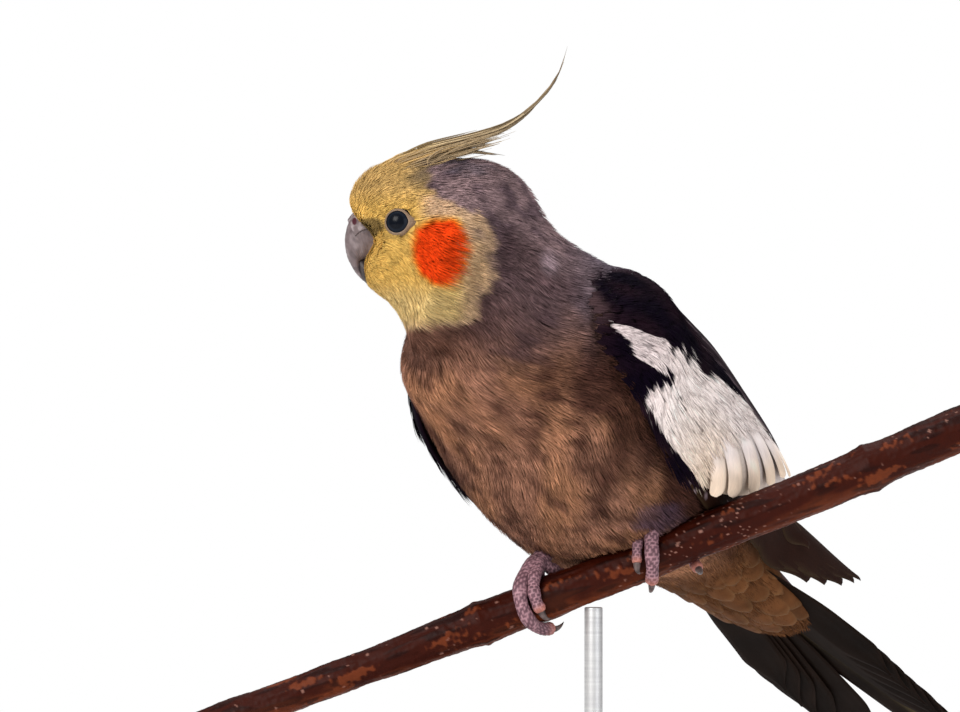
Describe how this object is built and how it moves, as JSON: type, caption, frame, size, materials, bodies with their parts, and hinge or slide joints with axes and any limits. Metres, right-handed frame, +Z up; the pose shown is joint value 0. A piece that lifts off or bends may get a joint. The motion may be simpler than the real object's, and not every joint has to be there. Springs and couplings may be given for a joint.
{
  "type": "cockatiel",
  "caption": "Still life-size male cockatiel with raised crest, gripping a cut length of branch on a plain round display stand.",
  "frame": {"origin": "centre of the stand's underside", "axes": "+Z up from the floor, -Y towards the side of the bird that the picture shows, +X to the right in the picture; the bird faces -X and slightly -Y"},
  "size_m": [0.2262, 0.2247, 0.2213],
  "materials": {
    "yellow_face": "soft yellow face feathers with an orange cheek patch",
    "crest_feathers": "loose olive and yellow feather vanes",
    "grey_plumage": "matt mottled grey-brown body feathers",
    "wing_feathers": "dark satin feather vanes with a cream white wing patch",
    "tail_feathers": "near black satin feather vanes",
    "bill_horn": "grey-lilac horn, satin, lightly scuffed",
    "claw_horn": "dark horn, satin",
    "eye": "wet gloss, very dark brown",
    "scaly_skin": "pink-grey skin with dark scales, matt",
    "bark": "smooth red-brown bark with pale specks, slight gloss",
    "stand_metal": "plain satin grey"
  },
  "bodies": {
    "root": {"head": "yellow_face", "crest": "crest_feathers", "cere": "bill_horn", "upper_bill": "bill_horn", "lower_bill": "bill_horn", "left_eye": "eye", "right_eye": "eye", "neck": "grey_plumage", "trunk": "grey_plumage", "left_wing": "wing_feathers", "left_wing_tip": "wing_feathers", "right_wing": "wing_feathers", "right_wing_tip": "wing_feathers", "tail": "tail_feathers", "left_leg": "scaly_skin", "right_leg": "scaly_skin", "left_first_toe_claw": "claw_horn", "left_second_toe_claw": "claw_horn", "left_third_toe_claw": "claw_horn", "left_fourth_toe_claw": "claw_horn", "right_first_toe_claw": "claw_horn", "right_second_toe_claw": "claw_horn", "right_third_toe_claw": "claw_horn", "right_fourth_toe_claw": "claw_horn", "perch_branch": "bark", "stand_base": "stand_metal", "stand_cup": "stand_metal", "stand_rod": "stand_metal"}
  },
  "joints": []
}
